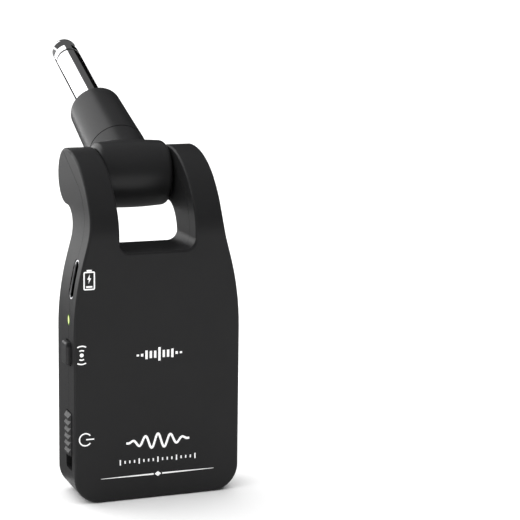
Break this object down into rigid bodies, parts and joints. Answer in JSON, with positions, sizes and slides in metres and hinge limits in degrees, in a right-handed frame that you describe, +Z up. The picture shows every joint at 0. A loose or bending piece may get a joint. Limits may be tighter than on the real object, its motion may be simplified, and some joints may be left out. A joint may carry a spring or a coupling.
{
  "type": "wireless guitar transmitter",
  "caption": "Slim clip-on wireless audio transmitter with a forked top that holds a tilting quarter-inch plug, a side charging port, a pairing button and a power slider.",
  "frame": {"origin": "middle of the case's flat bottom face", "axes": "+X to the right as the printed front is seen, +Y towards the back, +Z up the case towards the fork; the hinge axis lies along X"},
  "size_m": [0.0401, 0.0821, 0.0987],
  "materials": {
    "case_black": "fine-textured satin black moulded plastic",
    "arm_black": "smooth satin black moulded plastic",
    "control_black": "satin black moulded plastic",
    "screw_steel": "black-oxide steel",
    "board_green": "green solder mask",
    "chip_black": "epoxy package",
    "ceramic": "fired ceramic with tinned ends",
    "tin_can": "tinned steel",
    "port_steel": "bright nickel plate",
    "port_black": "glass-filled nylon",
    "contact_gold": "gold flash",
    "light_clear": "clear acrylic, lit pale green",
    "lamp": "side-view lamp",
    "cell_wrap": "aluminium laminate pouch",
    "foam": "closed-cell foam",
    "lead_black": "silicone insulation",
    "lead_red": "silicone insulation",
    "bush_plastic": "natural acetal",
    "pin_steel": "turned steel",
    "plug_chrome": "polished nickel plate on brass",
    "ring_black": "black insulator"
  },
  "bodies": {
    "case": {"audio_chip": "chip_black", "battery_cell": "cell_wrap", "battery_connector": "port_black", "battery_foam_pad": "foam", "battery_lead_black": "lead_black", "battery_lead_red": "lead_red", "board_capacitors": "ceramic", "case_screws": "screw_steel", "charger_chip": "chip_black", "chip_antenna": "ceramic", "friction_washer_left": "pin_steel", "friction_washer_right": "pin_steel", "front_cover": "case_black", "hinge_bush_left": "bush_plastic", "hinge_bush_right": "bush_plastic", "light_pipe": "light_clear", "main_circuit_board": "board_green", "pair_switch_body": "port_black", "port_contacts": "contact_gold", "port_shell": "port_steel", "port_tongue": "port_black", "power_inductor": "chip_black", "power_switch_body": "port_black", "radio_chip": "chip_black", "radio_crystal": "tin_can", "radio_shield_can": "tin_can", "rear_shell": "case_black", "signal_lead": "lead_black", "status_lamp": "lamp"},
    "plug_arm": {"hinge_knuckle": "arm_black", "hinge_pin_left": "pin_steel", "hinge_pin_right": "pin_steel", "barrel_shell": "arm_black", "plug_sleeve": "plug_chrome", "inner_insulator": "bush_plastic", "insulator_ring": "ring_black", "plug_tip": "plug_chrome", "tip_solder_lug": "tin_can", "ground_solder_lug": "tin_can", "plug_lead": "lead_black"},
    "pair_key": {"pair_button": "control_black", "pair_switch_plunger": "port_black"},
    "power_key": {"power_slider": "control_black", "power_switch_lever": "port_black"}
  },
  "joints": [
    {"name": "plug_tilt", "type": "hinge", "parent": "case", "child": "plug_arm", "pos_m": [0, 0.0149, 0.07155], "axis": [1, 0, 0], "range_deg": [-112.84, 115]},
    {"name": "pair_press", "type": "slide", "parent": "case", "child": "pair_key", "axis": [1, 0, 0], "range_m": [0, 0.0003], "stiffness_N_per_m": 500, "springref_m": -0.0005},
    {"name": "power_slide", "type": "slide", "parent": "case", "child": "power_key", "axis": [0, 0, -1], "range_m": [0, 0.003]}
  ]
}
